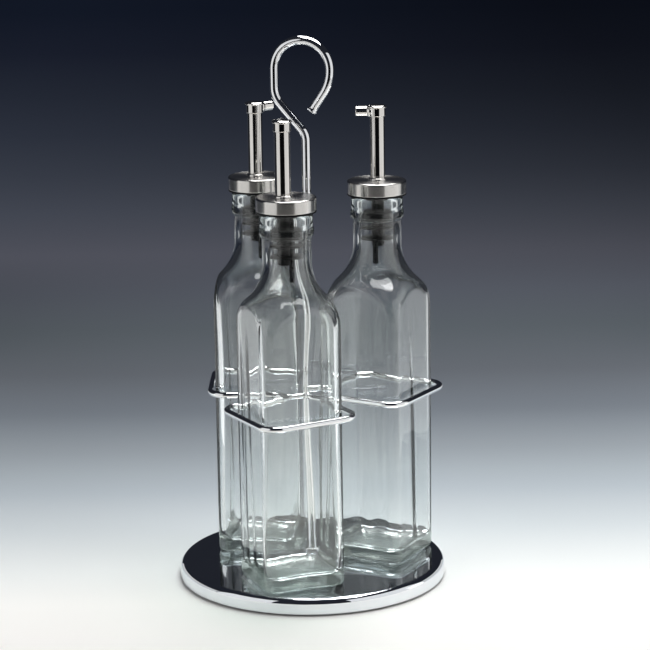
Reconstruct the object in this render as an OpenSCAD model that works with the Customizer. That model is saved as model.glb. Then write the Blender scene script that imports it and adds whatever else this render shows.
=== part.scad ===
// Cruet set: three square glass bottles with swivel pourers, held by a bent wire
// ring on a weighted round base with a loop-topped carrying rod.
// Millimetres, Z up. The origin is on the table under the middle of the base.

/* [Base] */
// Diameter of the round base
base_d = 150; // [148:1:170]
// Height of the top of the base above the table
base_top = 9.6; // [9:0.1:12]
// Radius of the rounded top edge of the base
rim_round = 3.5; // [2:0.5:4]
// Sheet thickness of the chromed base shell
shell_t = 1.2; // [0.8:0.1:1.6]
// How far the soft pad holds the shell off the table
pad_drop = 0.6; // [0.4:0.1:1]

/* [Handle] */
// Wire diameter of the centre rod and its loop
rod_d = 4.8; // [4:0.2:5]
// Height above the table where the rod starts to bend
stem_top = 248.5; // [246:0.5:256]
// Radius of the loop, to the middle of the wire
loop_r = 15.85; // [14:0.25:17]
// Length of the straight run at the free end of the loop
tail_len = 10.5; // [4:0.5:11.5]

/* [Ring] */
// Wire diameter of the bottle ring
ring_wire_d = 3.5; // [3:0.1:3.6]
// Height of the middle of the ring wire above the table
ring_z = 104.5; // [80:0.5:120]
// Half width of each square lobe, to the middle of the wire
lobe_half = 28; // [27.8:0.1:28.2]
// Bend radius at the lobe corners
lobe_bend = 10; // [8:0.5:11]
// Bend radius between two lobes
neck_bend = 5.8; // [5.4:0.1:6.2]
// Wire diameter of the three spokes
spoke_d = 3; // [2:0.25:3.25]

/* [Bottles] */
// Distance from the rod to the middle of each bottle
bottle_circle = 40; // [40:0.1:40.4]
// Width across the flats of a bottle
bottle_w = 47; // [44:0.5:47]
// Radius of the bottle's upright corners
bottle_corner = 6; // [5.5:0.25:7]
// Height of a bottle
bottle_h = 206.5; // [204:0.5:210]
// Thickness of the glass wall
glass_wall = 2.6; // [2:0.1:3.2]
// Thickness of the glass bottom
glass_floor = 6; // [4:0.5:8]
// Bore of the bottle neck
bore_d = 18.4; // [18:0.1:18.8]
// Turn of the front bottle in its lobe, degrees
front_turn = -8; // [-8:1:8]
// Turn of the right bottle in its lobe, degrees
right_turn = 2; // [-8:1:8]
// Turn of the left bottle in its lobe, degrees
left_turn = -7; // [-8:1:8]

/* [Pourers] */
// Diameter of the steel cap
cap_d = 33; // [32:0.5:35]
// Height of the steel cap
cap_h = 7.2; // [6:0.2:8]
// Outside diameter of the upright spout tube
spout_d = 8.6; // [8:0.1:8.6]
// Height of the spout tube's end above the top of the bottle
spout_rise = 43.8; // [36:0.2:48]
// Distance of the spout tube from the middle of the cap
spout_offset = 1.5; // [1.3:0.1:1.6]
// Reach of the nozzle from the middle of the spout tube
nozzle_reach = 12; // [10:0.5:14]
// Outside diameter of the nozzle
nozzle_d = 5.5; // [5:0.1:5.5]
// Direction of the front nozzle, degrees
front_nozzle = 106; // [-180:1:180]
// Direction of the right nozzle, degrees
right_nozzle = 196; // [-180:1:360]
// Direction of the left nozzle, degrees
left_nozzle = 55; // [-180:1:180]

/* [Hidden] */
$fn = 64;

// Gaps: between parts that move on each other, and under a part that rests on one
slip = 0.08;
rest_gap = 0.05;

// Base
pad_t = 2;
pad_d = base_d - 6;
weight_gap = 0.2;
weight_round = rim_round - shell_t;
nut_pocket_d = 16;
nut_pocket_top = 6.4;
thread_d = 4;
thread_end = 2.4;
thread_overlap = 2;
washer_d = 12;
washer_t = 0.8;
nut_flats = 7;
nut_h = 2.8;
collar_d = 11;
collar_h = 4;

// Handle: the rod leans out to the left, goes up around the loop and comes back down
stem_bend = 10;
lean_angle = 41;
lean_len = 18;
side_bend = 14;
side_len = 10;
tail_bend = 24;
tail_angle = 34;
tip_d = rod_d + 1;
tip_h = 1.4;
tip_overlap = 0.4;

// Ring: the straight sides of two lobes meet at 30 degrees beside the rod
side_gap = bottle_circle / sqrt(2) - lobe_half;
neck_center = neck_bend / sin(15) - side_gap / sin(15);
neck_tangent = neck_bend / tan(15);
side_reach = bottle_circle / sqrt(2) + side_gap / tan(15) - neck_tangent;
lobe_straight = 2 * (lobe_half - lobe_bend);

// Bottle heights, from the bottle's own bottom
diagonal = (bottle_w / 2 - bottle_corner) * sqrt(2) + bottle_corner;
shoulder_z = 137;
shoulder_out = 1.9;
dome_r = 29.4;
hollow_r = 26;
neck_z = 176;
neck_d = 27;
finish_z = bottle_h - 7.8;
finish_d = 28.8;
bead_z = bottle_h - 13.3;
bead_d = 29.8;
heel = 2.2;
heel_out = 0.4;
shoulder_steps = 8;

// Pourer heights, from the top of the bottle
gasket_t = 1.1;
gasket_d = cap_d - 0.2;
cap_t = 1;
cap_round = 1.1;
plug_head_d = cap_d - 2 * cap_t - 0.2;
plug_depth = 28.5;
core_d = 7.4;
channel_d = 5;
fin_d = bore_d - 2 * slip;
fins = [[-2.6, 2.6], [-12.2, 2.6], [-18.2, 1.2], [-24.4, 1.2]];
spout_bore = 6.6;
spout_seat = 2.2;
vent_offset = 4.1;
vent_d = 3;
vent_bore = 1.6;
vent_depth = 38.5;
vent_top = spout_seat - 0.2;
air_hole_offset = 5.3;
air_hole_d = 1.2;
head_d = 9.8;
head_h = 4.7;
flange_d = 11;
flange_t = 0.9;
dome_h = 1;
spigot_len = 8;
head_bore = 4.4;
nozzle_bore = 4.1;
nozzle_start = head_bore / 2 + 1.2;
nozzle_round = 0.6;
seal_d = 0.64;
seal_z = -4;

// Where each bottle stands, how its spout tube is set and which way its nozzle points
front = [-90, 196, front_nozzle];
right = [30, 83, right_nozzle];
left = [150, 138, left_nozzle];

// The band at each wire joint: how far it stands out, and its length
joint_swell = 0.03;
joint_len = 0.4;

// Wire paths. A step is [straight length, bend radius, turn], and a turn to the left is positive.
// place() gives [x, y, heading] at the start of a step.
function bend_end(p, s) =
    let (side = sign(s[2]), h = p[2] + s[2],
         x = p[0] + s[0] * cos(p[2]), y = p[1] + s[0] * sin(p[2]),
         cx = x - side * s[1] * sin(p[2]), cy = y + side * s[1] * cos(p[2]))
    [cx + side * s[1] * sin(h), cy - side * s[1] * cos(h), h];
function place(start, steps, i) =
    i == 0 ? start : bend_end(place(start, steps, i - 1), steps[i - 1]);

handle_start = [0, base_top, 90];
handle_steps = [
    [stem_top - base_top, stem_bend, lean_angle],
    [lean_len, side_bend, -lean_angle],
    [side_len, loop_r, -180],
    [0, tail_bend, -tail_angle],
    [tail_len, 0, 0]
];
lobe_steps = [
    [side_reach + lobe_half - lobe_bend, lobe_bend, 90],
    [lobe_straight, lobe_bend, 90],
    [lobe_straight, lobe_bend, 90],
    [side_reach + lobe_half - lobe_bend, neck_bend, -150]
];

// Moves its children to the end of a bend
module bend_exit(radius, turn) {
    side = sign(turn);
    translate([radius * sin(abs(turn)), side * radius * (1 - cos(turn)), 0])
        children();
}

module wire_bend(radius, turn, d) {
    side = sign(turn);
    translate([0, side * radius, 0])
        rotate([0, 0, side > 0 ? -90 : 90 + turn])
            rotate_extrude(angle = abs(turn))
                translate([radius, 0])
                    circle(d = d);
}

// A band closes each joint between a straight and a bend, so that the pieces make one solid
module wire_joint(d) {
    translate([-joint_len / 2, 0, 0])
        rotate([0, 90, 0])
            cylinder(d = d + 2 * joint_swell, h = joint_len);
}

module wire_step(step, d) {
    if (step[0] > 0)
        rotate([0, 90, 0])
            cylinder(d = d, h = step[0]);
    if (step[2] != 0)
        translate([step[0], 0, 0]) {
            wire_joint(d);
            wire_bend(step[1], step[2], d);
            bend_exit(step[1], step[2])
                rotate([0, 0, step[2]])
                    wire_joint(d);
        }
}

module wire_path(start, steps, d) {
    for (i = [0 : len(steps) - 1]) {
        p = place(start, steps, i);
        translate([p[0], p[1], 0])
            rotate([0, 0, p[2]])
                wire_step(steps[i], d);
    }
}

module ring_of(outer_d, inner_d, h) {
    difference() {
        cylinder(d = outer_d, h = h);
        translate([0, 0, -1])
            cylinder(d = inner_d, h = h + 2);
    }
}

// A disc whose top edge is rounded
module rounded_disc(d, h, edge) {
    rotate_extrude() {
        square([d / 2 - edge, h]);
        square([d / 2, h - edge]);
        translate([d / 2 - edge, h - edge])
            circle(r = edge);
    }
}

// ---- Stand ----

module base_shell() {
    color("silver")
        difference() {
            translate([0, 0, pad_drop])
                rounded_disc(base_d, base_top - pad_drop, rim_round);
            translate([0, 0, pad_drop - 1])
                rounded_disc(base_d - 2 * shell_t, base_top - pad_drop - shell_t + 1, rim_round - shell_t);
            cylinder(d = thread_d + 0.1, h = base_top + 1);
        }
}

module base_weight() {
    color("dimgray")
        difference() {
            translate([0, 0, pad_t])
                rounded_disc(base_d - 2 * shell_t - 2 * weight_gap, base_top - shell_t - pad_t, weight_round);
            cylinder(d = thread_d + 0.1, h = base_top);
            translate([0, 0, -1])
                cylinder(d = nut_pocket_d, h = nut_pocket_top + 1);
        }
}

module base_pad() {
    color("black")
        cylinder(d = pad_d, h = pad_t);
}

module handle_wire() {
    rotate([90, 0, 0])
        wire_path(handle_start, handle_steps, rod_d);
}

// The free end of the rod is upset into a small button
module handle_tip() {
    p = place(handle_start, handle_steps, len(handle_steps) - 1);
    rotate([90, 0, 0])
        translate([p[0], p[1], 0])
            rotate([0, 0, p[2]])
                translate([tail_len - tip_overlap, 0, 0])
                    rotate([0, 90, 0])
                        rounded_disc(tip_d, tip_h, tip_h / 2);
}

module handle_rod() {
    color("silver") {
        handle_wire();
        handle_tip();
        translate([0, 0, thread_end])
            cylinder(d = thread_d, h = base_top - thread_end + thread_overlap);
    }
}

module rod_collar() {
    color("silver")
        difference() {
            translate([0, 0, base_top])
                rounded_disc(collar_d, collar_h, 1.2);
            cylinder(d = rod_d, h = base_top + collar_h + 1);
        }
}

module rod_washer() {
    color("gainsboro")
        translate([0, 0, nut_pocket_top - washer_t])
            ring_of(washer_d, thread_d + 0.1, washer_t);
}

module rod_nut() {
    color("gray")
        translate([0, 0, nut_pocket_top - washer_t - nut_h])
            difference() {
                cylinder(d = nut_flats / cos(30), h = nut_h, $fn = 6);
                translate([0, 0, -1])
                    cylinder(d = thread_d + 0.1, h = nut_h + 2);
            }
}

// Each lobe starts at the bend beside the rod and its outer corner points along angle
module lobe(angle) {
    rotate([0, 0, angle])
        translate([bottle_circle, 0, 0])
            rotate([0, 0, -45])
                wire_path([-side_reach, -lobe_half, 0], lobe_steps, ring_wire_d);
}

module bottle_ring() {
    color("silver")
        translate([0, 0, ring_z])
            for (angle = [-90, 30, 150])
                lobe(angle);
}

module neck_bend_solid() {
    translate([neck_center, 0, ring_z])
        rotate([0, 0, 90])
            rotate_extrude(angle = 180)
                translate([neck_bend, 0])
                    circle(d = ring_wire_d);
}

module ring_spokes() {
    color("silver")
        for (angle = [-30, 90, 210])
            rotate([0, 0, angle])
                difference() {
                    translate([0, 0, ring_z])
                        rotate([0, 90, 0])
                            cylinder(d = spoke_d, h = neck_center - neck_bend);
                    cylinder(d = rod_d, h = stem_top);
                    neck_bend_solid();
                }
}

// ---- Bottles ----

module rounded_square(w, r) {
    square([w, w - 2 * r], center = true);
    square([w - 2 * r, w], center = true);
    for (x = [-1, 1], y = [-1, 1])
        translate([x * (w / 2 - r), y * (w / 2 - r)])
            circle(r = r);
}

// How high a shoulder rises: a dome, then a hollow that runs into the neck
function shoulder_rise(wide, narrow, dome, hollow) =
    sqrt(pow(dome + hollow, 2) - pow(narrow + hollow + dome - wide, 2));
function shoulder_points(wide, narrow, low, dome, hollow) =
    let (rise = shoulder_rise(wide, narrow, dome, hollow),
         turn = atan2(rise, narrow + hollow + dome - wide),
         step = turn / shoulder_steps)
    concat(
        [for (i = [0 : shoulder_steps])
            [wide - dome + dome * cos(i * step), low + dome * sin(i * step)]],
        [for (i = [shoulder_steps - 1 : -1 : 0])
            [narrow + hollow - hollow * cos(i * step), low + rise - hollow * sin(i * step)]]
    );

// The form of a bottle, inset all round by a thickness: a square column with a cut heel under a
// turned shoulder
module bottle_form(inset, corner, narrow, low) {
    foot = diagonal + heel_out - inset;
    wide = diagonal + shoulder_out - inset;
    dome = dome_r - inset;
    hollow = hollow_r + inset;
    high = low + shoulder_rise(wide, narrow, dome, hollow);
    intersection() {
        linear_extrude(height = high)
            rounded_square(bottle_w - 2 * inset, corner);
        rotate_extrude()
            polygon(concat([[0, 0], [foot - heel, 0], [foot, heel]],
                shoulder_points(wide, narrow, low, dome, hollow), [[0, high]]));
    }
}

module bottle_glass() {
    difference() {
        union() {
            bottle_form(0, bottle_corner, neck_d / 2, shoulder_z);
            translate([0, 0, neck_z])
                cylinder(d = neck_d, h = bottle_h - neck_z);
            translate([0, 0, finish_z - 4])
                cylinder(d = finish_d, h = bottle_h - finish_z + 4);
            translate([0, 0, bead_z])
                cylinder(d = bead_d, h = finish_z - bead_z);
        }
        translate([0, 0, glass_floor])
            bottle_form(glass_wall, bottle_corner - glass_wall + 1, bore_d / 2, shoulder_z - glass_floor);
        translate([0, 0, neck_z])
            cylinder(d = bore_d, h = bottle_h);
    }
}

module at_bottle(angle, turn) {
    rotate([0, 0, angle])
        translate([bottle_circle, 0, base_top + rest_gap])
            rotate([0, 0, turn - 45])
                children();
}

module bottle(angle, turn) {
    color("honeydew", 0.4)
        at_bottle(angle, turn)
            bottle_glass();
}

// ---- Pourers, drawn from the middle of the bottle's mouth with +X towards the spout tube ----

module at_mouth(angle, facing) {
    rotate([0, 0, angle])
        translate([bottle_circle, 0, base_top + rest_gap + bottle_h + rest_gap])
            rotate([0, 0, facing - angle])
                children();
}

module plug(angle, facing) {
    color("black")
        at_mouth(angle, facing)
            difference() {
                union() {
                    translate([0, 0, gasket_t])
                        cylinder(d = plug_head_d, h = cap_h - cap_t);
                    for (fin = fins)
                        translate([0, 0, fin[0]])
                            cylinder(d = fin_d, h = fin[1]);
                    translate([0, 0, -1])
                        cylinder(d = fin_d, h = gasket_t + 2);
                    translate([spout_offset, 0, -plug_depth])
                        cylinder(d = core_d, h = plug_depth + 1);
                }
                translate([spout_offset, 0, -plug_depth - 1])
                    cylinder(d = channel_d, h = plug_depth + cap_h + 2);
                translate([spout_offset, 0, spout_seat])
                    cylinder(d = spout_d, h = cap_h);
                translate([-vent_offset + spout_offset, 0, -plug_depth - 1])
                    cylinder(d = vent_d, h = plug_depth + cap_h + 2);
            }
}

module gasket(angle, facing) {
    color("black")
        at_mouth(angle, facing)
            ring_of(gasket_d, fin_d, gasket_t);
}

module cap(angle, facing) {
    color("lightgray")
        at_mouth(angle, facing)
            translate([0, 0, gasket_t])
                difference() {
                    rounded_disc(cap_d, cap_h, cap_round);
                    translate([0, 0, -1])
                        cylinder(d = cap_d - 2 * cap_t, h = cap_h - cap_t + 1);
                    translate([spout_offset, 0, 0])
                        cylinder(d = spout_d, h = cap_h + 1);
                    translate([-air_hole_offset + spout_offset, 0, 0])
                        cylinder(d = air_hole_d, h = cap_h + 1);
                }
}

module spout_tube(angle, facing) {
    color("silver")
        at_mouth(angle, facing)
            translate([spout_offset, 0, spout_seat])
                ring_of(spout_d, spout_bore, spout_rise - spout_seat);
}

module vent_tube(angle, facing) {
    color("black")
        at_mouth(angle, facing)
            translate([-vent_offset + spout_offset, 0, -vent_depth])
                ring_of(vent_d, vent_bore, vent_depth + vent_top);
}

// The head turns on the spout tube; its own X axis is the way the nozzle points
module at_head(angle, facing, pointing) {
    at_mouth(angle, facing)
        translate([spout_offset, 0, spout_rise + rest_gap])
            rotate([0, 0, pointing - facing])
                children();
}

module nozzle_hole(d, from, to) {
    translate([from, 0, nozzle_d / 2])
        rotate([0, 90, 0])
            cylinder(d = d, h = to - from);
}

module spout_head(angle, facing, pointing) {
    color("silver")
        at_head(angle, facing, pointing)
            difference() {
                union() {
                    cylinder(d = head_d, h = head_h);
                    translate([0, 0, head_h])
                        cylinder(d = flange_d, h = flange_t);
                    translate([0, 0, head_h + flange_t])
                        rounded_disc(flange_d - 1, dome_h, dome_h * 0.8);
                    translate([0, 0, -spigot_len])
                        cylinder(d = spout_bore - 2 * slip, h = spigot_len + 1);
                }
                translate([0, 0, -spigot_len - 1])
                    cylinder(d = head_bore, h = spigot_len + head_h + 0.6);
                translate([0, 0, seal_z - seal_d / 2])
                    ring_of(spout_bore + 1, spout_bore - 2 * slip - 2 * seal_d, seal_d);
                nozzle_hole(nozzle_d, nozzle_start, flange_d);
                nozzle_hole(nozzle_bore, 0, flange_d);
            }
}

module nozzle(angle, facing, pointing) {
    color("silver")
        at_head(angle, facing, pointing)
            difference() {
                translate([nozzle_start, 0, nozzle_d / 2])
                    rotate([0, 90, 0])
                        rounded_disc(nozzle_d, nozzle_reach - nozzle_start, nozzle_round);
                nozzle_hole(nozzle_bore, 0, nozzle_reach + 1);
            }
}

module head_seal(angle, facing, pointing) {
    color("black")
        at_head(angle, facing, pointing)
            translate([0, 0, seal_z])
                rotate_extrude()
                    translate([spout_bore / 2 - slip - seal_d / 2, 0])
                        circle(d = seal_d - 0.02);
}

base_shell();
base_weight();
base_pad();
handle_rod();
rod_collar();
rod_washer();
rod_nut();
bottle_ring();
ring_spokes();
bottle(front[0], front_turn);  // front_bottle
plug(front[0], front[1]);  // front_plug
gasket(front[0], front[1]);  // front_gasket
cap(front[0], front[1]);  // front_cap
spout_tube(front[0], front[1]);  // front_spout_tube
vent_tube(front[0], front[1]);  // front_vent_tube
spout_head(front[0], front[1], front[2]);  // front_spout_head
nozzle(front[0], front[1], front[2]);  // front_nozzle
head_seal(front[0], front[1], front[2]);  // front_head_seal
bottle(right[0], right_turn);  // right_bottle
plug(right[0], right[1]);  // right_plug
gasket(right[0], right[1]);  // right_gasket
cap(right[0], right[1]);  // right_cap
spout_tube(right[0], right[1]);  // right_spout_tube
vent_tube(right[0], right[1]);  // right_vent_tube
spout_head(right[0], right[1], right[2]);  // right_spout_head
nozzle(right[0], right[1], right[2]);  // right_nozzle
head_seal(right[0], right[1], right[2]);  // right_head_seal
bottle(left[0], left_turn);  // left_bottle
plug(left[0], left[1]);  // left_plug
gasket(left[0], left[1]);  // left_gasket
cap(left[0], left[1]);  // left_cap
spout_tube(left[0], left[1]);  // left_spout_tube
vent_tube(left[0], left[1]);  // left_vent_tube
spout_head(left[0], left[1], left[2]);  // left_spout_head
nozzle(left[0], left[1], left[2]);  // left_nozzle
head_seal(left[0], left[1], left[2]);  // left_head_seal
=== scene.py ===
"""The looks of a cruet set: three square glass bottles with swivel pourers, held by a bent wire ring
on a round chromed base with a loop-topped carrying rod.

Lengths are in millimetres up to the moment a mesh is made, and metres after that. +Z is up and the
origin is on the table under the middle of the base, as in the CAD model that is loaded here."""
from math import atan2, cos, degrees, pi, radians, sin, sqrt, tan

import bmesh
import bpy
from mathutils import Matrix, Vector


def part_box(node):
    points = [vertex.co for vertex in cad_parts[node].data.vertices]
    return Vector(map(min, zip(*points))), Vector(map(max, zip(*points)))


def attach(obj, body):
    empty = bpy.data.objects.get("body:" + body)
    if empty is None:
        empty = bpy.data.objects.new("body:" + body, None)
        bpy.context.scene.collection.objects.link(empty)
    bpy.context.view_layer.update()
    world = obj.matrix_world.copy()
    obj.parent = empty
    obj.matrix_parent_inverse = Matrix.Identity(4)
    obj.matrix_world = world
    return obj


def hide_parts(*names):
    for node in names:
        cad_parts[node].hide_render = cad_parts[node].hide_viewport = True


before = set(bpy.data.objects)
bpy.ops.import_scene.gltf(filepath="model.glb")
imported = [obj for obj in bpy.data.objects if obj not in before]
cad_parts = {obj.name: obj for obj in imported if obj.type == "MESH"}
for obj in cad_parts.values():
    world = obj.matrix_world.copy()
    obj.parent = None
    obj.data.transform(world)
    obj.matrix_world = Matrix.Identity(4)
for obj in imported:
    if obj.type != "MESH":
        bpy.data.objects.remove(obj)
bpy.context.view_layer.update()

MM = 0.001
SIDES = ("front", "right", "left")


def span(node):
    """Lowest and highest corner of a CAD node, in millimetres."""
    low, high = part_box(node)
    return low / MM, high / MM


def middle(node):
    """Middle of a CAD node's box, in millimetres."""
    low, high = span(node)
    return (low + high) / 2


# ---- Outlines: lists of (radius, height), which run once round half of a turned piece ----


def rounded(corners, steps=6):
    """An outline from corners given as (radius, height, fillet), with points close beside each
    fillet that keep the flat next to it flat when it is shaded smooth."""
    hold = 0.25
    outline = []
    for i, (r, z, fillet) in enumerate(corners):
        here = Vector((r, z))
        to_last = (Vector(corners[i - 1][:2]) - here).normalized()
        to_next = (Vector(corners[(i + 1) % len(corners)][:2]) - here).normalized()
        if not fillet:
            outline.append(here)
            continue
        half = to_last.angle(to_next) / 2
        centre = here + (to_last + to_next).normalized() * fillet / sin(half)
        start = here + to_last * fillet / tan(half) - centre
        end = here + to_next * fillet / tan(half) - centre
        turn = pi - 2 * half
        for k in range(steps + 1):
            share = k / steps
            outline.append(centre + (start * sin((1 - share) * turn) + end * sin(share * turn)) / sin(turn))
    held = []
    for i, here in enumerate(outline):
        after = outline[(i + 1) % len(outline)]
        held.append(here)
        if (after - here).length > 5 * hold:
            along = (after - here).normalized() * hold
            held += [here + along, after - along]
    return [(p.x, p.y) for p in held]


def lathe(outline, sides=96):
    """Points and faces of a turned solid about Z. Points at radius 0 lie on the axis."""
    points, faces, rows = [], [], []
    for r, z in outline:
        if r < 1e-6:
            rows.append([len(points)] * sides)
            points.append((0, 0, z))
        else:
            rows.append([len(points) + k for k in range(sides)])
            points += [(r * cos(2 * pi * k / sides), r * sin(2 * pi * k / sides), z) for k in range(sides)]
    for i, row in enumerate(rows):
        faces += strip(row, rows[(i + 1) % len(rows)])
    return points, faces


def rod_outline(radius, low, high):
    """The outline of a plain round rod, for cutting holes."""
    return [(0, low), (radius, low), (radius, high), (0, high)]


def strip(row, other):
    """Faces between two closed rows of point numbers."""
    faces = []
    for k in range(len(row)):
        m = (k + 1) % len(row)
        face = list(dict.fromkeys((row[k], row[m], other[m], other[k])))
        if len(face) > 2:
            faces.append(face)
    return faces


def swept(path, radii, across, sides=32, closed=False):
    """Points and faces of round wire along a flat path. across is the normal of the path's plane."""
    points, faces, rows = [], [], []
    last = len(path) - 1
    for i, here in enumerate(path):
        before = path[i - 1] if closed or i else here
        after = path[(i + 1) % len(path)] if closed or i < last else here
        side = (after - before).normalized().cross(across).normalized()
        if radii[i] < 1e-6:
            rows.append([len(points)] * sides)
            points.append(here)
            continue
        rows.append([len(points) + k for k in range(sides)])
        for k in range(sides):
            turn = 2 * pi * k / sides
            points.append(here + radii[i] * (cos(turn) * side + sin(turn) * across))
    for i in range(len(rows) if closed else last):
        faces += strip(rows[i], rows[(i + 1) % len(rows)])
    return points, faces


def wire_path(start, steps, bend_step):
    """Points (x, y) of a bent wire. A step is (straight length, bend radius, turn in degrees), and
    bends have a point about every bend_step degrees."""
    x, y, heading = start
    path = [Vector((x, y))]
    for length, radius, turn in steps:
        if length:
            x += length * cos(radians(heading))
            y += length * sin(radians(heading))
            path.append(Vector((x, y)))
        if turn:
            side = 1 if turn > 0 else -1
            cx = x - side * radius * sin(radians(heading))
            cy = y + side * radius * cos(radians(heading))
            count = max(2, round(abs(turn) / bend_step))
            for k in range(1, count + 1):
                now = radians(heading + turn * k / count)
                path.append(Vector((cx + side * radius * sin(now), cy - side * radius * cos(now))))
            heading += turn
            x, y = path[-1]
    return path


# ---- Making pieces ----


def shell(name, points, faces, place=Matrix.Identity(4)):
    """An object from points in millimetres, with its faces turned outwards."""
    mesh = bpy.data.meshes.new(name)
    mesh.from_pydata([Vector(p) * MM for p in points], [], faces)
    shape = bmesh.new()
    shape.from_mesh(mesh)
    bmesh.ops.recalc_face_normals(shape, faces=shape.faces)
    shape.to_mesh(mesh)
    shape.free()
    made = bpy.data.objects.new(name, mesh)
    bpy.context.scene.collection.objects.link(made)
    made.matrix_world = place
    return made


def carved(made, tools, operation="DIFFERENCE"):
    """made after each tool is cut from it or joined to it. The tools are used up."""
    for tool in tools:
        change = made.modifiers.new("carve", "BOOLEAN")
        change.operation = operation
        change.solver = "EXACT"
        change.object = tool
    bpy.context.view_layer.update()
    graph = bpy.context.evaluated_depsgraph_get()
    mesh = bpy.data.meshes.new_from_object(made.evaluated_get(graph))
    made.modifiers.clear()
    made.data = mesh
    for tool in tools:
        bpy.data.objects.remove(tool)
    return made


def piece(made, look, slot, body, *nodes, sharp=40):
    """Finishes an object as a piece that stands for CAD nodes and moves with their body."""
    made.data.materials.clear()
    made.data.materials.append(look)
    made.data.shade_smooth()
    if sharp:
        made.data.set_sharp_from_angle(angle=radians(sharp))
    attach(made, body)
    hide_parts(*nodes)
    return made


def at(x, y, z=0, turn=0):
    """A place: x, y and z in millimetres, turned about Z by degrees."""
    return Matrix.Translation(Vector((x, y, z)) * MM) @ Matrix.Rotation(radians(turn), 4, "Z")


# ---- Materials ----


class Look:
    """A node material with one Principled shader. Textures run in the piece's own millimetres."""

    def __init__(self, name, **values):
        self.material = bpy.data.materials.new(name)
        self.material.use_nodes = True
        self.tree = self.material.node_tree
        self.shader = self.tree.nodes["Principled BSDF"]
        for socket, value in values.items():
            self.shader.inputs[socket.replace("_", " ")].default_value = value
        self.place = self.add("ShaderNodeTexCoord").outputs["Object"]

    def add(self, kind, **settings):
        node = self.tree.nodes.new(kind)
        for name, value in settings.items():
            setattr(node, name, value)
        return node

    def link(self, source, target):
        self.tree.links.new(source, target)

    def math(self, operation, *values):
        node = self.add("ShaderNodeMath", operation=operation)
        for socket, value in zip(node.inputs, values):
            if isinstance(value, (int, float)):
                socket.default_value = value
            else:
                self.link(value, socket)
        return node.outputs[0]

    def scaled(self, x, y, z):
        """The place with each direction multiplied, so that a texture's size can differ by direction."""
        node = self.add("ShaderNodeVectorMath", operation="MULTIPLY")
        self.link(self.place, node.inputs[0])
        node.inputs[1].default_value = (x, y, z)
        return node.outputs[0]

    def turned(self, fine):
        """A place that changes only with radius and height, for marks left by a lathe or a polisher."""
        flat = self.add("ShaderNodeVectorMath", operation="LENGTH")
        self.link(self.scaled(1, 1, 0), flat.inputs[0])
        height = self.add("ShaderNodeSeparateXYZ")
        self.link(self.place, height.inputs[0])
        both = self.add("ShaderNodeCombineXYZ")
        self.link(self.math("MULTIPLY", flat.outputs["Value"], fine), both.inputs[0])
        self.link(self.math("MULTIPLY", height.outputs["Z"], fine), both.inputs[2])
        return both.outputs[0]

    def noise(self, place, detail=3.0, rough=0.5):
        node = self.add("ShaderNodeTexNoise")
        self.link(place, node.inputs["Vector"])
        node.inputs["Scale"].default_value = 1.0
        node.inputs["Detail"].default_value = detail
        node.inputs["Roughness"].default_value = rough
        return node.outputs["Fac"]

    def ramp(self, value, low, high, to_low=0.3, to_high=0.7):
        """value mapped from to_low..to_high onto low..high."""
        node = self.add("ShaderNodeMapRange")
        self.link(value, node.inputs["Value"])
        node.inputs["From Min"].default_value = to_low
        node.inputs["From Max"].default_value = to_high
        node.inputs["To Min"].default_value = low
        node.inputs["To Max"].default_value = high
        return node.outputs["Result"]

    def colours(self, value, first, second):
        node = self.add("ShaderNodeMix", data_type="RGBA")
        self.link(value, node.inputs["Factor"])
        node.inputs["A"].default_value = (*first, 1)
        node.inputs["B"].default_value = (*second, 1)
        self.link(node.outputs["Result"], self.shader.inputs["Base Color"])

    def rough(self, value):
        self.link(value, self.shader.inputs["Roughness"])

    def bump(self, height, depth_mm):
        node = self.add("ShaderNodeBump")
        node.inputs["Strength"].default_value = 1.0
        node.inputs["Distance"].default_value = depth_mm * MM
        self.link(height, node.inputs["Height"])
        self.link(node.outputs["Normal"], self.shader.inputs["Normal"])


def chrome(name, bright, deep, rough_low=0.02, rough_high=0.06):
    """Polished plate: a mirror with faint clouding and a slight unevenness of the metal under it."""
    look = Look(name, Metallic=1.0)
    cloud = look.noise(look.scaled(60, 60, 60), detail=4)
    look.colours(look.ramp(cloud, 0, 1), bright, deep)
    look.rough(look.ramp(cloud, rough_low, rough_high))
    look.bump(look.noise(look.scaled(150, 150, 150), detail=2), 0.01)
    return look.material


def satin_steel(name):
    """Turned stainless steel: fine grooves round the axis, which spread each highlight."""
    look = Look(name, Metallic=1.0, Anisotropic=0.8, Anisotropic_Rotation=0.25)
    tangent = look.add("ShaderNodeTangent", direction_type="RADIAL", axis="Z")
    look.link(tangent.outputs[0], look.shader.inputs["Tangent"])
    grooves = look.noise(look.turned(6000), detail=5, rough=0.6)
    look.colours(look.ramp(grooves, 0, 1), (0.60, 0.585, 0.56), (0.68, 0.665, 0.64))
    look.rough(look.ramp(grooves, 0.18, 0.26))
    look.bump(grooves, 0.006)
    return look.material


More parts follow.
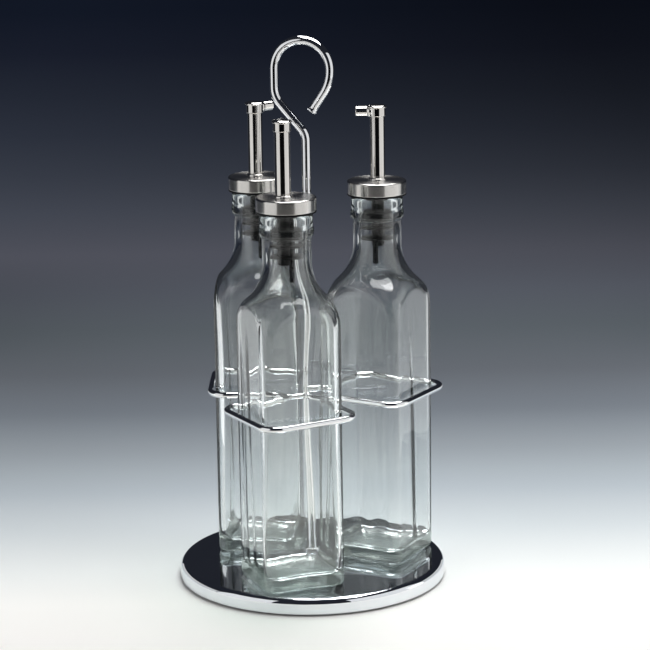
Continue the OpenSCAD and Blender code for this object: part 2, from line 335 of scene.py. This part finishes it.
def glass(name):
    """Clear moulded glass, a little uneven and hazy, with a faint green in its thick parts. Its bottom
    has the fine stipple of a mould."""
    look = Look(name, Metallic=0.0, IOR=1.5)
    look.shader.inputs["Base Color"].default_value = (0.985, 0.995, 0.99, 1)
    look.shader.inputs["Transmission Weight"].default_value = 0.993
    uneven = look.noise(look.scaled(90, 90, 22), detail=2)
    look.bump(uneven, 0.05)
    height = look.add("ShaderNodeSeparateXYZ")
    look.link(look.place, height.inputs[0])
    foot = look.ramp(height.outputs["Z"], 0.16, 0, 0.005, 0.013)
    look.rough(look.math("ADD", foot, look.ramp(look.noise(look.scaled(200, 200, 200)), 0.0, 0.015)))
    body = look.add("ShaderNodeVolumeAbsorption")
    body.inputs["Color"].default_value = (0.55, 0.88, 0.74, 1)
    body.inputs["Density"].default_value = 6.5
    output = look.tree.nodes["Material Output"]
    look.link(body.outputs[0], output.inputs["Volume"])
    open_shade = look.add("ShaderNodeBsdfTransparent")
    open_shade.inputs["Color"].default_value = (0.93, 0.96, 0.95, 1)
    rays = look.add("ShaderNodeLightPath")
    either = look.add("ShaderNodeMixShader")
    look.link(rays.outputs["Is Shadow Ray"], either.inputs[0])
    look.link(look.shader.outputs[0], either.inputs[1])
    look.link(open_shade.outputs[0], either.inputs[2])
    look.link(either.outputs[0], output.inputs["Surface"])
    return look.material


def dark(name, colour, second, rough_low, rough_high, grain, depth_mm):
    """Rubber, plastic or foam with a fine grain."""
    look = Look(name, Metallic=0.0, Specular_IOR_Level=0.12)
    texture = look.noise(look.scaled(grain, grain, grain), detail=4)
    look.colours(look.ramp(texture, 0, 1), colour, second)
    look.rough(look.ramp(texture, rough_low, rough_high))
    look.bump(texture, depth_mm)
    return look.material


def cast_metal(name, colour, second, metallic, rough_low, rough_high, grain, depth_mm):
    """Cast or plated metal with a mottled face."""
    look = Look(name, Metallic=metallic)
    texture = look.noise(look.scaled(grain, grain, grain), detail=6, rough=0.6)
    look.colours(look.ramp(texture, 0, 1), colour, second)
    look.rough(look.ramp(texture, rough_low, rough_high))
    look.bump(texture, depth_mm)
    return look.material


WIRE_CHROME = chrome("wire_chrome", (0.86, 0.87, 0.88), (0.80, 0.81, 0.83))
BASE_CHROME = chrome("base_chrome", (0.83, 0.85, 0.88), (0.78, 0.80, 0.84), 0.015, 0.04)
POLISHED_STEEL = chrome("polished_steel", (0.74, 0.72, 0.69), (0.68, 0.66, 0.63), 0.05, 0.10)
SATIN_STEEL = satin_steel("satin_steel")
RUBBER = dark("black_rubber", (0.0025, 0.0025, 0.003), (0.005, 0.005, 0.006), 0.30, 0.42, 400, 0.01)
PLASTIC = dark("black_plastic", (0.002, 0.002, 0.003), (0.004, 0.004, 0.005), 0.20, 0.30, 500, 0.004)
FOAM = dark("pad_foam", (0.018, 0.018, 0.019), (0.045, 0.045, 0.047), 0.75, 0.95, 1500, 0.12)
IRON = cast_metal("weight_iron", (0.10, 0.10, 0.105), (0.18, 0.17, 0.165), 0.7, 0.45, 0.7, 700, 0.08)
ZINC = cast_metal("zinc_plate", (0.62, 0.63, 0.64), (0.50, 0.51, 0.54), 1.0, 0.2, 0.36, 300, 0.01)

# ---- Stand ----


def base_shell():
    """The pressed and chromed cover of the base, open underneath."""
    low, high = span("base_shell")
    radius, wall, hole = high.x, 1.2, 2.05
    outline = rounded([
        (hole, high.z, 0), (radius, high.z, 3.5), (radius, low.z, 0.5), (radius - wall, low.z, 0.4),
        (radius - wall, high.z - wall, 2.3), (hole, high.z - wall, 0),
    ], steps=10)
    made = shell("base_cover", *lathe(outline, 256))
    piece(made, BASE_CHROME, "chrome_base", "stand", "base_shell")


def base_pad():
    low, high = span("base_pad")
    outline = rounded([(0, low.z, 0), (high.x, low.z, 0.4), (high.x, high.z, 0.2), (0, high.z, 0)])
    piece(shell("base_foot_pad", *lathe(outline, 160)), FOAM, "pad_foam", "stand", "base_pad")


def handle_rod():
    """The threaded rod with its loop and the button on the loop's free end."""
    start_z = span("rod_collar")[0].z
    radius, thread_radius, thread_pitch = 2.4, 2.0, 0.7
    stem_top, lean, tail = 248.5, 41, 10.5
    steps = [(stem_top - start_z, 10, lean), (18, 14, -lean), (10, 15.85, -180), (0, 24, -34), (tail, 0, 0)]
    path = [Vector((p.x, 0, p.y)) for p in wire_path((0, start_z, 90), steps, bend_step=3)]
    radii = [radius] * len(path)
    ahead = (path[-1] - path[-2]).normalized()
    end = path.pop() - ahead * 0.4
    radii.pop()
    for along, r in ((-1.6, radius), (-0.7, 2.42), (-0.1, 2.55), (0.15, 2.8), (0.5, 2.9), (0.9, 2.9),
                     (1.2, 2.8), (1.36, 2.55), (1.4, 2.2), (1.4, 1.2), (1.4, 0)):
        path.append(end + ahead * along)
        radii.append(r)
    thread_end = span("handle_rod")[0].z
    turns = int((start_z - thread_end - 0.6) / (thread_pitch / 2))
    foot = [(Vector((0, 0, thread_end)), 0), (Vector((0, 0, thread_end)), 1.5)]
    for k in range(turns + 1):
        foot.append((Vector((0, 0, thread_end + 0.4 + k * thread_pitch / 2)), thread_radius - 0.3 * (k % 2)))
    foot.append((Vector((0, 0, start_z - 0.1)), thread_radius))
    path = [p for p, _ in foot] + path
    radii = [r for _, r in foot] + radii
    piece(shell("carrying_rod", *swept(path, radii, Vector((0, 1, 0)), 48)), WIRE_CHROME, "chrome_wire",
          "stand", "handle_rod")


def rod_collar():
    low, high = span("rod_collar")
    outline = rounded([(2.4, low.z, 0), (high.x, low.z, 0), (high.x, high.z, 1.2), (2.4, high.z, 0.3)])
    piece(shell("rod_collar_ring", *lathe(outline)), WIRE_CHROME, "chrome_wire", "stand", "rod_collar")


BOTTLE_CIRCLE = 40.0
LOBE_HALF, LOBE_BEND, NECK_BEND = 28.0, 10.0, 5.8
SIDE_GAP = BOTTLE_CIRCLE / sqrt(2) - LOBE_HALF
NECK_CENTRE = (NECK_BEND - SIDE_GAP) / sin(radians(15))
SIDE_REACH = BOTTLE_CIRCLE / sqrt(2) + (SIDE_GAP - NECK_BEND) / tan(radians(15))
OUT_ANGLE = {"front": -90, "right": 30, "left": 150}


def bottle_ring():
    """One wire, bent into three square lobes."""
    low, high = span("bottle_ring")
    z, radius = (low.z + high.z) / 2, (high.z - low.z) / 2
    straight = 2 * (LOBE_HALF - LOBE_BEND)
    side = SIDE_REACH + LOBE_HALF - LOBE_BEND
    steps = [
        (side, LOBE_BEND, 90), (straight, LOBE_BEND, 90), (straight, LOBE_BEND, 90), (side, NECK_BEND, -150),
    ]
    path = []
    for name in ("front", "right", "left"):
        turn = Matrix.Rotation(radians(OUT_ANGLE[name] - 45), 2)
        out = Vector((cos(radians(OUT_ANGLE[name])), sin(radians(OUT_ANGLE[name])))) * BOTTLE_CIRCLE
        lobe = [turn @ p + out for p in wire_path((-SIDE_REACH, -LOBE_HALF, 0), steps, bend_step=5)]
        path += [Vector((p.x, p.y, z)) for p in lobe[:-1]]
    made = shell("bottle_ring_wire", *swept(path, [radius] * len(path), Vector((0, 0, 1)), 32, closed=True))
    piece(made, WIRE_CHROME, "chrome_wire", "stand", "bottle_ring")


def ring_spokes():
    """Three short wires from the rod to the ring, with a weld bead at each end."""
    z, radius = middle("ring_spokes").z, 1.5
    end = NECK_CENTRE - NECK_BEND
    spoke = ((1.2, 2.3), (2.2, 2.3), (2.7, 2.1), (3.1, 1.8), (3.7, 1.56), (4.4, radius), (end - 3.2, radius),
             (end - 2.4, 1.6), (end - 1.8, 1.8), (end - 1.3, 2.0), (end - 0.4, 2.0))
    points, faces = [], []
    for angle in (-30, 90, 210):
        along = Vector((cos(radians(angle)), sin(radians(angle)), 0))
        path = [along * spoke[0][0]] + [along * x for x, _ in spoke] + [along * spoke[-1][0]]
        path = [p + Vector((0, 0, z)) for p in path]
        more, more_faces = swept(path, [0] + [r for _, r in spoke] + [0], Vector((0, 0, 1)), 24)
        faces += [[n + len(points) for n in face] for face in more_faces]
        points += more
    piece(shell("ring_spoke_wires", points, faces), WIRE_CHROME, "chrome_wire", "stand", "ring_spokes")


# ---- Bottles ----

BOTTLE = {"half": 23.5, "corner": 6.0, "wall": 2.6, "floor": 6.0, "shoulder": 137.0,
          "shoulder_out": 1.9, "dome": 29.4, "hollow": 26.0, "neck_radius": 13.5, "bore": 9.2}
BOTTLE_TURN = {"front": -8, "right": 2, "left": -7}


def square_reach(angle, half, corner):
    """Distance from the middle of a rounded square to its edge."""
    c, s = sorted((abs(cos(angle)), abs(sin(angle))), reverse=True)
    if half * s / c <= half - corner:
        return half / c
    inner = half - corner
    dot = inner * (c + s)
    return dot + sqrt(dot * dot - 2 * inner * inner + corner * corner)


def soft_least(first, second, sharp=34):
    """The smaller of two radii, blended where they are close, which rounds the edge between them."""
    return (first ** -sharp + second ** -sharp) ** (-1 / sharp)


def shoulder_radius(z, wide, narrow, low, dome, hollow):
    """Radius of a shoulder at a height: a dome, then a hollow that runs into the neck."""
    rise = sqrt((dome + hollow) ** 2 - (narrow + hollow + dome - wide) ** 2)
    up = max(z - low, 0)
    if up < dome * rise / (dome + hollow):
        return wide - dome + sqrt(dome ** 2 - up ** 2)
    return narrow + hollow - sqrt(hollow ** 2 - max(rise - up, 0) ** 2)


def bottle_angles(flat_steps=14, corner_steps=12):
    """Directions round a bottle, closest together at its upright corners."""
    half, inner = BOTTLE["half"], BOTTLE["half"] - BOTTLE["corner"]
    reach = atan2(inner, half)
    angles = []
    for quarter in range(4):
        start = quarter * pi / 2 - reach
        angles += [start + 2 * reach * k / flat_steps for k in range(flat_steps)]
        angles += [start + 2 * reach + (pi / 2 - 2 * reach) * k / corner_steps for k in range(corner_steps)]
    return angles


def bottle_mesh(height, seed):
    """A bottle in its own axes: the outside from the middle of the bottom up to the lip, then the
    inside down to the floor."""
    b = BOTTLE
    angles = bottle_angles()
    wide = (b["half"] - b["corner"]) * sqrt(2) + b["corner"] + b["shoulder_out"]
    bead_low, bead_high, bore_end = height - 13.3, height - 7.8, height - 22.5

    def outside(angle, z):
        square = square_reach(angle, b["half"], b["corner"])
        turned = shoulder_radius(z, wide, b["neck_radius"], b["shoulder"], b["dome"], b["hollow"])
        body = soft_least(square, turned)
        ripple = 0.05 * sin(3 * angle + seed + z / 31) + 0.04 * sin(5 * angle - z / 23 + 2 * seed)
        return body + ripple * min(1, max(0, (150 - z) / 40))

    def inside(angle, z):
        square = square_reach(angle, b["half"] - b["wall"], b["corner"] - b["wall"] + 1.4)
        dome, hollow = b["dome"] - b["wall"], b["hollow"] + b["wall"]
        turned = shoulder_radius(z, wide - b["wall"], b["bore"], b["shoulder"], dome, hollow)
        body = soft_least(square, turned)
        wave = 0.18 * sin(5 * angle + seed) + 0.12 * sin(9 * angle + 2.3 * seed + z / 50)
        wave += 0.07 * sin(14 * angle + z / 35 - seed) - 0.25 * sin(4 * angle + seed) * sin(z / 40 + seed)
        return body + wave * min(1, max(0, (148 - z) / 30))

    rows = []
    push = 1.0
    for share in (0, 0.15, 0.3, 0.45, 0.58, 0.68, 0.75, 0.8):
        lift = push * (1 - (share / 0.8) ** 2.4)
        rows.append([(share * (outside(a, 4) - 3.4), lift) for a in angles])
    for inset in (3.4, 2.9):
        rows.append([(outside(a, 4) - inset, 0.0) for a in angles])
    heel = 2.9
    for k in range(1, 9):
        turn = radians(90 * k / 8)
        rows.append([(outside(a, 4) - heel * (1 - sin(turn)), heel * (1 - cos(turn))) for a in angles])
    heights = [5, 8, 14, 22, 32, 44, 56, 68, 80, 92, 104, 114, 120]
    heights += [124 + 1.7 * k for k in range(34)]
    heights += [183, bead_low - 0.6]
    rows += [[(outside(a, z), z) for a in angles] for z in heights]
    neck, bead, finish = b["neck_radius"], 14.9, 14.4
    bore = b["bore"]
    neck_and_mouth = (
        (neck + 0.12, bead_low - 0.15), (neck + 0.5, bead_low + 0.1), (bead - 0.9, bead_low + 0.35),
        (bead - 0.3, bead_low + 0.8), (bead - 0.02, bead_low + 1.7), (bead, bead_low + 2.8),
        (bead - 0.05, bead_high - 1.4), (bead - 0.25, bead_high - 0.5), (finish + 0.08, bead_high),
        (finish, bead_high + 0.7), (finish, height - 2.2), (finish - 0.12, height - 1.3),
        (finish - 0.5, height - 0.5), (finish - 1.1, height - 0.1), (finish - 1.9, height),
        (bore + 1.2, height), (bore + 0.5, height - 0.15), (bore + 0.12, height - 0.5),
        (bore, height - 1.1), (bore, height - 4), (bore, height - 12), (bore, bore_end),
    )
    for r, z in neck_and_mouth:
        rows.append([(r, z) for _ in angles])
    inner_heights = [181 - 1.8 * k for k in range(34)]
    inner_heights += [117, 112, 104, 94, 84, 74, 64, 54, 44, 34, 26, 20, 16]
    rows += [[(inside(a, z), z) for a in angles] for z in inner_heights]
    round_in, floor = 5.0, b["floor"]
    for k in range(1, 9):
        turn = radians(90 * k / 8)
        across, up = round_in * (1 - cos(turn)), round_in * (1 - sin(turn))
        rows.append([(inside(a, 12) - across, floor + up) for a in angles])
    for share in (0.8, 0.6, 0.4, 0.2, 0):
        rows.append([
            (share * (inside(a, 12) - round_in),
             floor + 0.9 * (1 - share ** 2) + 0.5 * share * (1 - share) * sin(3 * a + seed)) for a in angles
        ])
    points, faces, numbers = [], [], []
    for row in rows:
        if max(r for r, _ in row) < 1e-6:
            numbers.append([len(points)] * len(angles))
            points.append((0, 0, row[0][1]))
            continue
        numbers.append([len(points) + k for k in range(len(angles))])
        points += [(r * cos(a), r * sin(a), z) for a, (r, z) in zip(angles, row)]
    for lower, upper in zip(numbers, numbers[1:]):
        faces += strip(lower, upper)
    return points, faces


def bottle(side, seed):
    low, high = span(side + "_bottle")
    mouth = middle(side + "_cap")
    place = at(mouth.x, mouth.y, low.z, OUT_ANGLE[side] - 45 + BOTTLE_TURN[side])
    made = shell(side + "_glass_bottle", *bottle_mesh(high.z - low.z, seed), place)
    look = glass(side + "_clear_glass")
    piece(made, look, "clear_glass", side + "_bottle_body", side + "_bottle", sharp=0)


# ---- Pourers ----


def ring_outline(outer, inner, low, high, fillet):
    return rounded([(inner, low, 0), (outer, low, fillet), (outer, high, fillet), (inner, high, 0)], 5)


def plug(side):
    """The ribbed stopper: a core off the middle, ribs that fill the bore and a flange under the cap."""
    low, high = span(side + "_plug")
    seat, axis = span(side + "_gasket")[0].z, middle(side + "_gasket")
    spout, vent = middle(side + "_spout_tube"), middle(side + "_vent_tube")
    away = Vector((spout.x - axis.x, spout.y - axis.y))
    reach, core_radius, channel, vent_radius, flange = 9.12, 3.7, 2.5, 1.5, 15.35
    made = shell(side + "_stopper", *lathe(rounded([
        (0, low.z - seat, 0), (core_radius, low.z - seat, 0.6), (core_radius, -0.5, 0), (0, -0.5, 0),
    ]), 64), at(axis.x, axis.y, seat))
    made.data.transform(Matrix.Translation((away.x * MM, away.y * MM, 0)))
    parts = []
    for z, thick, r, edge in ((-2.6, 4.0, reach, 0.4), (-12.2, 2.6, reach, 0.8), (-18.2, 1.2, reach, 0.4),
                              (-24.4, 1.2, reach, 0.4)):
        fin = [(0, z, 0), (r, z, edge), (r, z + thick, edge), (0, z + thick, 0)]
        parts.append(shell("rib", *lathe(rounded(fin), 96), at(axis.x, axis.y, seat)))
    head = [(0, 1.1, 0), (flange, 1.1, 0.3), (flange, high.z - seat, 0.3), (0, high.z - seat, 0)]
    parts.append(shell("rib", *lathe(rounded(head), 96), at(axis.x, axis.y, seat)))
    made = carved(made, parts, "UNION")
    bores = []
    for where, r in ((spout, channel), (vent, vent_radius)):
        bores.append(shell("bore", *lathe(rod_outline(r, -60, 20), 48), at(where.x, where.y, seat)))
    piece(carved(made, bores), RUBBER, "black_rubber", side + "_pourer", side + "_plug")


def gasket(side):
    low, high = span(side + "_gasket")
    axis = middle(side + "_gasket")
    outer, inner = (high.x - low.x) / 2, 9.15
    outline = ring_outline(outer, inner, 0, high.z - low.z, 0.35)
    made = shell(side + "_gasket_ring", *lathe(outline), at(axis.x, axis.y, low.z))
    piece(made, RUBBER, "black_rubber", side + "_pourer", side + "_gasket")


def cap(side):
    """The satin cap, with a hole for the spout tube and a small one for air."""
    low, high = span(side + "_cap")
    axis, spout, vent = middle(side + "_cap"), middle(side + "_spout_tube"), middle(side + "_vent_tube")
    radius, height, wall = (high.x - low.x) / 2, high.z - low.z, 1.0
    air_offset, air_radius = 5.3, 0.6
    outline = rounded([
        (0, height, 0), (radius, height, 1.0), (radius, 0, 0.3), (radius - wall, 0, 0.3),
        (radius - wall, height - wall, 0.6), (0, height - wall, 0),
    ])
    made = shell(side + "_steel_cap", *lathe(outline, 128), at(axis.x, axis.y, low.z))
    holes = []
    away = Vector((vent.x - spout.x, vent.y - spout.y)).normalized() * air_offset
    tube = span(side + "_spout_tube")[1].x - spout.x
    for where, r in ((spout, tube), (Vector((spout.x + away.x, spout.y + away.y)), air_radius)):
        holes.append(shell("hole", *lathe(rod_outline(r, -5, 20), 48), at(where.x, where.y, low.z)))
    piece(carved(made, holes), SATIN_STEEL, "satin_steel", side + "_pourer", side + "_cap", sharp=30)


def spout_tube(side):
    """The upright tube, with a small swaged ring where it meets the cap."""
    low, high = span(side + "_spout_tube")
    axis = middle(side + "_spout_tube")
    radius, bore, top = (high.x - low.x) / 2, 3.3, span(side + "_cap")[1].z - low.z
    outline = rounded([
        (bore, 0, 0), (radius, 0, 0.2), (radius, top, 0),
        (radius + 0.9, top, 0.1), (radius + 0.7, top + 0.8, 0.35), (radius, top + 1.1, 0.25),
        (radius, high.z - low.z, 0.25), (bore, high.z - low.z, 0.15),
    ])
    made = shell(side + "_upright_tube", *lathe(outline, 96), at(axis.x, axis.y, low.z))
    piece(made, POLISHED_STEEL, "polished_steel", side + "_pourer", side + "_spout_tube")


def vent_tube(side):
    low, high = span(side + "_vent_tube")
    axis = middle(side + "_vent_tube")
    outline = ring_outline((high.x - low.x) / 2, 0.8, 0, high.z - low.z, 0.25)
    made = shell(side + "_air_tube", *lathe(outline, 48), at(axis.x, axis.y, low.z))
    piece(made, PLASTIC, "black_plastic", side + "_pourer", side + "_vent_tube")


def spout_head(side):
    """The swivel head, whose spigot turns in the tube, and the nozzle brazed into its side."""
    low, high = span(side + "_spout_head")
    axis, seat = middle(side + "_spout_tube"), span(side + "_spout_tube")[1].z + 0.05
    tip = middle(side + "_nozzle")
    turn = degrees(atan2(tip.y - axis.y, tip.x - axis.x))
    radius, body_top, flange, top = 4.9, 4.7, 5.5, high.z - seat
    spigot, bore, groove = 3.22, 2.2, 2.56
    dome = [(r, top - 0.85 * (r / 5.1) ** 2, 0) for r in (0, 1, 2, 3, 4, 4.6, 5.1)]
    outline = rounded(dome + [
        (flange, body_top + 0.6, 0.15), (flange, body_top, 0.2), (radius, body_top, 0.25), (radius, 0, 0.3),
        (spigot, 0, 0), (spigot, -3.68, 0), (groove, -3.68, 0), (groove, -4.32, 0), (spigot, -4.32, 0),
        (spigot, low.z - seat, 0.3), (bore, low.z - seat, 0.2),
        (bore, body_top + 0.2, 0.4), (0, body_top + 0.2, 0),
    ])
    made = shell(side + "_swivel_head", *lathe(outline, 96), at(axis.x, axis.y, seat, turn))
    level = Matrix.Translation((0, 0, 2.75 * MM)) @ Matrix.Rotation(pi / 2, 4, "Y")
    passage = shell("passage", *lathe(rod_outline(2.05, 0, 12), 48), at(axis.x, axis.y, seat, turn) @ level)
    piece(carved(made, [passage]), POLISHED_STEEL, "polished_steel", side + "_spout", side + "_spout_head")
    reach, outer, inner = 12.0, 2.75, 2.05
    nozzle = rounded([
        (inner, 3.2, 0), (outer + 0.7, 3.2, 0), (outer + 0.7, 4.4, 0.2), (outer, 5.6, 0.8),
        (outer, reach, 0.6), (inner, reach, 0.08),
    ])
    made = shell(side + "_nozzle_tube", *lathe(nozzle, 64), at(axis.x, axis.y, seat, turn) @ level)
    piece(made, POLISHED_STEEL, "polished_steel", side + "_spout", side + "_nozzle")


def cad_finish(node, look):
    """Gives a CAD node that stays in the picture its material."""
    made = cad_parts[node]
    made.data.materials.clear()
    made.data.materials.append(look)


base_shell()
base_pad()
handle_rod()
rod_collar()
bottle_ring()
ring_spokes()
cad_finish("base_weight", IRON)
cad_finish("rod_washer", ZINC)
cad_finish("rod_nut", ZINC)
for number, side in enumerate(SIDES):
    bottle(side, 1.7 + 2.1 * number)
    plug(side)
    gasket(side)
    cap(side)
    spout_tube(side)
    vent_tube(side)
    spout_head(side)
    cad_finish(side + "_head_seal", RUBBER)

# ---- Camera ----

AZIMUTH, ELEVATION, ROLL = radians(15.93), radians(13.34), radians(-0.84)
CAMERA_TARGET = Vector((0.00866, 0.00247, 0.14444))
CAMERA_DISTANCE = 1.42465
RIGHT = Vector((cos(AZIMUTH), sin(AZIMUTH), 0))
AWAY = Vector((-sin(AZIMUTH), cos(AZIMUTH), 0))


def camera():
    """A long lens from a little above the object and to the right of its front."""
    forward = AWAY * cos(ELEVATION) - Vector((0, 0, sin(ELEVATION)))
    up = RIGHT.cross(forward)
    across = cos(ROLL) * RIGHT + sin(ROLL) * up
    upright = cos(ROLL) * up - sin(ROLL) * RIGHT
    lens = bpy.data.cameras.new("camera")
    lens.lens, lens.sensor_width = 141.46, 36
    lens.clip_start, lens.clip_end = 0.05, 60
    made = bpy.data.objects.new("camera", lens)
    bpy.context.scene.collection.objects.link(made)
    axes = Matrix((across, upright, -forward)).transposed().to_4x4()
    made.matrix_world = Matrix.Translation(CAMERA_TARGET - forward * CAMERA_DISTANCE) @ axes
    bpy.context.scene.camera = made


# ---- Floor and light ----


def shades(look, value, stops):
    """Colours that change with a distance in metres, which value holds as a share from -0.1 to 2.9."""
    node = look.add("ShaderNodeValToRGB")
    look.link(value, node.inputs[0])
    for number, (metres, *colour) in enumerate(stops):
        share = (metres + 0.1) / 3
        stop = node.color_ramp.elements[number] if number < 2 else node.color_ramp.elements.new(share)
        stop.position = share
        stop.color = (*colour, 1)
    return node.outputs[0]


def scale(look, colour, amount):
    """A colour multiplied by an amount."""
    node = look.add("ShaderNodeVectorMath", operation="SCALE")
    look.link(colour, node.inputs[0])
    look.link(amount, node.inputs["Scale"])
    return node.outputs[0]


def floor():
    """A pale sweep that is white round the object and fades to dark behind it and far away. The fade behind
    it is the grading of the backdrop; the darkening in front and to the sides is painted shade, and the far
    floor glows with painted light that stands in for lamps on the backdrop.
    """
    size = 9.0
    mesh = bpy.data.meshes.new("floor")
    corners = [(-size, -size, 0), (size, -size, 0), (size, size, 0), (-size, size, 0)]
    mesh.from_pydata(corners, [], [(0, 1, 2, 3)])
    made = bpy.data.objects.new("floor", mesh)
    bpy.context.scene.collection.objects.link(made)
    made.location.z = -0.0002
    look = Look("pale_floor", Metallic=0.0, Roughness=0.7)
    look.shader.inputs["Specular IOR Level"].default_value = 0.2
    behind = look.add("ShaderNodeVectorMath", operation="DOT_PRODUCT")
    look.link(look.place, behind.inputs[0])
    behind.inputs[1].default_value = AWAY
    depth = look.ramp(behind.outputs["Value"], 0, 1, -0.1, 2.9)
    shade = shades(look, depth, (
        (-0.1, 0.97, 0.95, 0.92), (-0.05, 0.95, 0.94, 0.91), (0.0, 0.81, 0.83, 0.82),
        (0.08, 0.56, 0.60, 0.62), (0.16, 0.383, 0.425, 0.46), (0.25, 0.254, 0.283, 0.309),
        (0.35, 0.146, 0.165, 0.19), (0.46, 0.109, 0.121, 0.139), (0.6, 0.099, 0.116, 0.132),
        (0.74, 0.11, 0.122, 0.15), (0.9, 0.08, 0.085, 0.105), (1.1, 0.06, 0.065, 0.08),
        (1.33, 0.04, 0.043, 0.055), (1.9, 0.02, 0.02, 0.024),
    ))
    # Painted light: the far floor glows in place of lamps that light the backdrop, more strongly towards the
    # left.
    painted_backdrop_light = shades(look, depth, (
        (0.74, 0.0, 0.0, 0.0), (0.9, 0.030, 0.031, 0.040), (1.1, 0.026, 0.030, 0.041),
        (1.33, 0.020, 0.024, 0.034), (1.6, 0.014, 0.0175, 0.027), (1.95, 0.0095, 0.0122, 0.020),
        (2.36, 0.0052, 0.007, 0.0138), (2.9, 0.003, 0.0048, 0.0105),
    ))
    across = look.add("ShaderNodeVectorMath", operation="DOT_PRODUCT")
    look.link(look.place, across.inputs[0])
    across.inputs[1].default_value = RIGHT
    painted_backdrop_light = scale(look, painted_backdrop_light, look.ramp(across.outputs["Value"], 1.45, 0.55, -0.4, 0.4))
    look.link(painted_backdrop_light, look.shader.inputs["Emission Color"])
    look.shader.inputs["Emission Strength"].default_value = 1.0
    far = look.add("ShaderNodeVectorMath", operation="LENGTH")
    look.link(look.place, far.inputs[0])
    # Painted shade: the floor is darkened in front of the object and to its sides, away from the lamps,
    # where the studio is unlit; behind the object it keeps its colour.
    back = look.ramp(behind.outputs["Value"], 0.03, 1, -0.45, -0.1)
    side_painted_shade = look.ramp(far.outputs["Value"], 1, 0.03, 0.72, 1.0)
    front_painted_shade = look.ramp(behind.outputs["Value"], 0.03, 1, -0.75, -0.58)
    edge = look.math("MAXIMUM", look.math("MULTIPLY", side_painted_shade, front_painted_shade), back)
    speckle = look.ramp(look.noise(look.scaled(900, 900, 900)), 0.985, 1.0)
    look.link(scale(look, shade, look.math("MULTIPLY", edge, speckle)), look.shader.inputs["Base Color"])
    mesh.materials.append(look.material)


def softbox(name, side, depth, height, width, length, radiance, aim=None):
    """A soft light side metres to the camera's right of the object and depth metres behind it. It
    faces aim, or straight down."""
    data = bpy.data.lights.new(name, "AREA")
    data.shape = "RECTANGLE"
    data.size, data.size_y = width, length
    data.energy = radiance * pi * width * length
    made = bpy.data.objects.new(name, data)
    bpy.context.scene.collection.objects.link(made)
    made.location = RIGHT * side + AWAY * depth + Vector((0, 0, height))
    if aim is None:
        made.rotation_euler.z = AZIMUTH
    else:
        made.rotation_euler = (made.location - aim).to_track_quat("Z", "Y").to_euler()
    made.visible_camera = False
    return made


def side_softbox(name, start, end, distance, height, radiance):
    """A softbox that stands on the floor, seen from the object between two angles from the camera."""
    turn, half = radians((start + end) / 2), radians((end - start) / 2)
    softbox(name, sin(turn) * distance, -cos(turn) * distance, height / 2, 2 * distance * tan(half), height,
            radiance, Vector((0, 0, height / 2)))


def lights():
    softbox("overhead_softbox", 0.10, 0.25, 0.80, 0.45, 0.75, 8.1)
    side_softbox("left_softbox", -85, -33, 0.75, 0.80, 0.85)
    side_softbox("right_softbox", 31, 105, 0.75, 0.80, 0.85)
    for name, side in (("left_card", -0.30), ("right_card", 0.30)):
        softbox(name, side, 0.22, 0.055, 0.55, 0.11, 0.6, AWAY * 0.22 + Vector((0, 0, 0.055)))
    world = bpy.data.worlds.new("studio")
    bpy.context.scene.world = world
    world.use_nodes = True
    background = world.node_tree.nodes["Background"]
    background.inputs["Color"].default_value = (0.55, 0.62, 0.85, 1)
    background.inputs["Strength"].default_value = 0.03


camera()
floor()
lights()
bpy.context.scene.view_settings.view_transform = "Standard"
